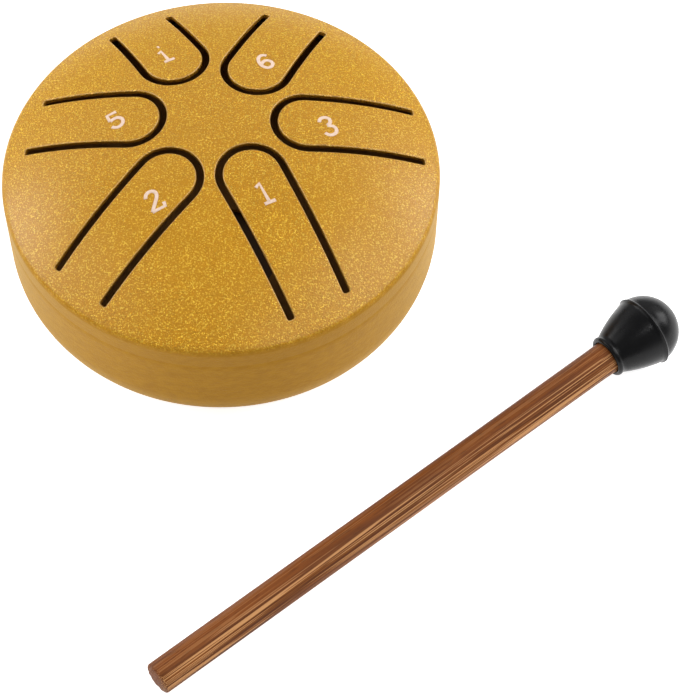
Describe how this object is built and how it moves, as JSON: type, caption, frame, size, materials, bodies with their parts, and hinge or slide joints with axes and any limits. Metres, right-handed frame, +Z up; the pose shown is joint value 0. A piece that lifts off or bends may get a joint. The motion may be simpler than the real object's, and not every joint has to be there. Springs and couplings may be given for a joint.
{
  "type": "steel tongue drum",
  "caption": "Small domed steel drum with bending tongues cut from its top, rubber feet and a loose rubber-headed mallet lying beside it.",
  "frame": {"origin": "on the drum's axis, at the surface that its feet stand on", "axes": "+Z up along the drum's axis; -Y towards the picture's camera and the mallet; +X to the picture's right"},
  "size_m": [0.1234, 0.1335, 0.038],
  "materials": {
    "gold_coat": "gold metallic powder coat, fine pebbled texture",
    "gold_tongue": "gold metallic powder coat, fine pebbled texture",
    "gold_side": "gold metallic coat, smoother than the dome",
    "weld_metal": "bare weld bead",
    "foot_rubber": "matt black rubber",
    "adhesive": "clear adhesive film",
    "bamboo": "stained bamboo",
    "head_rubber": "slightly glossy black rubber"
  },
  "bodies": {
    "drum": {"top_shell": "gold_coat", "bottom_bowl": "gold_side", "seam_weld": "weld_metal", "foot_adhesives": "adhesive", "foot_front_right": "foot_rubber", "foot_front_left": "foot_rubber", "foot_back_left": "foot_rubber", "foot_back_right": "foot_rubber"},
    "note_1": {"tongue_1": "gold_tongue"},
    "note_2": {"tongue_2": "gold_tongue"},
    "note_3": {"tongue_3": "gold_tongue"},
    "note_5": {"tongue_5": "gold_tongue"},
    "note_6": {"tongue_6": "gold_tongue"},
    "note_high_1": {"tongue_high_1": "gold_tongue"},
    "mallet": {"mallet_stick": "bamboo", "mallet_head": "head_rubber"}
  },
  "joints": [
    {"name": "tongue_1_bend", "type": "hinge", "parent": "drum", "child": "note_1", "pos_m": [0.01767, -0.03119, 0.02972], "axis": [-0.8661, -0.4999, 0], "range_deg": [-1, 1], "stiffness_Nm_per_rad": 16.2},
    {"name": "tongue_2_bend", "type": "hinge", "parent": "drum", "child": "note_2", "pos_m": [-0.02519, -0.02608, 0.02951], "axis": [-0.7135, 0.7006, 0], "range_deg": [-0.85, 0.85], "stiffness_Nm_per_rad": 17.4},
    {"name": "tongue_3_bend", "type": "hinge", "parent": "drum", "child": "note_3", "pos_m": [0.03633, 0.00619, 0.02919], "axis": [0.1821, -0.9833, 0], "range_deg": [-0.6, 0.6], "stiffness_Nm_per_rad": 20.1},
    {"name": "tongue_5_bend", "type": "hinge", "parent": "drum", "child": "note_5", "pos_m": [-0.03415, 0.00949, 0.02993], "axis": [0.2823, 0.9593, 0], "range_deg": [-0.6, 0.6], "stiffness_Nm_per_rad": 22},
    {"name": "tongue_6_bend", "type": "hinge", "parent": "drum", "child": "note_6", "pos_m": [0.01393, 0.03281, 0.02982], "axis": [0.9222, -0.3866, 0], "range_deg": [-0.5, 0.5], "stiffness_Nm_per_rad": 23.4},
    {"name": "tongue_high_1_bend", "type": "hinge", "parent": "drum", "child": "note_high_1", "pos_m": [-0.0151, 0.03274, 0.02962], "axis": [0.9117, 0.411, 0], "range_deg": [-0.4, 0.4], "stiffness_Nm_per_rad": 27.1},
    {"name": "mallet_lift", "type": "slide", "parent": "drum", "child": "mallet", "axis": [0, 0, 1], "range_m": [0, 0.1]}
  ]
}
